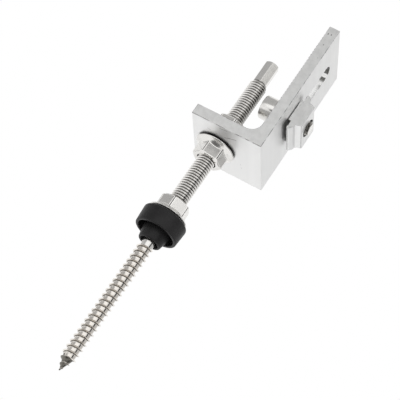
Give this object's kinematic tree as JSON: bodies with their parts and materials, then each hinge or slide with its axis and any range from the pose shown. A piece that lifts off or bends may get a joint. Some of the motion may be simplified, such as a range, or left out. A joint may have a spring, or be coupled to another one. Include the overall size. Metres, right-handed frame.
{
  "type": "solar hanger bolt",
  "caption": "Double-ended bolt with a wood thread, a rubber roof seal, flange nuts, and a slotted, toothed angle bracket that carries a rail nut and its cap screw.",
  "frame": {"origin": "on the bolt's axis, in the plane of the roof sheet, where the seal's rim rests", "axes": "+Z along the bolt, away from the roof; +X from the bolt to the bracket's tall leg; Y along the bracket's width"},
  "size_m": [0.05, 0.044, 0.223],
  "materials": {
    "stainless_steel": "bright rolled stainless",
    "extruded_aluminium": "satin extrusion with sawn ends",
    "black_rubber": "matt moulded rubber"
  },
  "bodies": {
    "root": {"hanger_bolt": "stainless_steel", "roof_seal": "black_rubber", "seal_nut": "stainless_steel", "lower_nut": "stainless_steel", "upper_nut": "stainless_steel", "angle_bracket": "extruded_aluminium", "cap_screw": "stainless_steel", "rail_nut": "extruded_aluminium"}
  },
  "joints": []
}
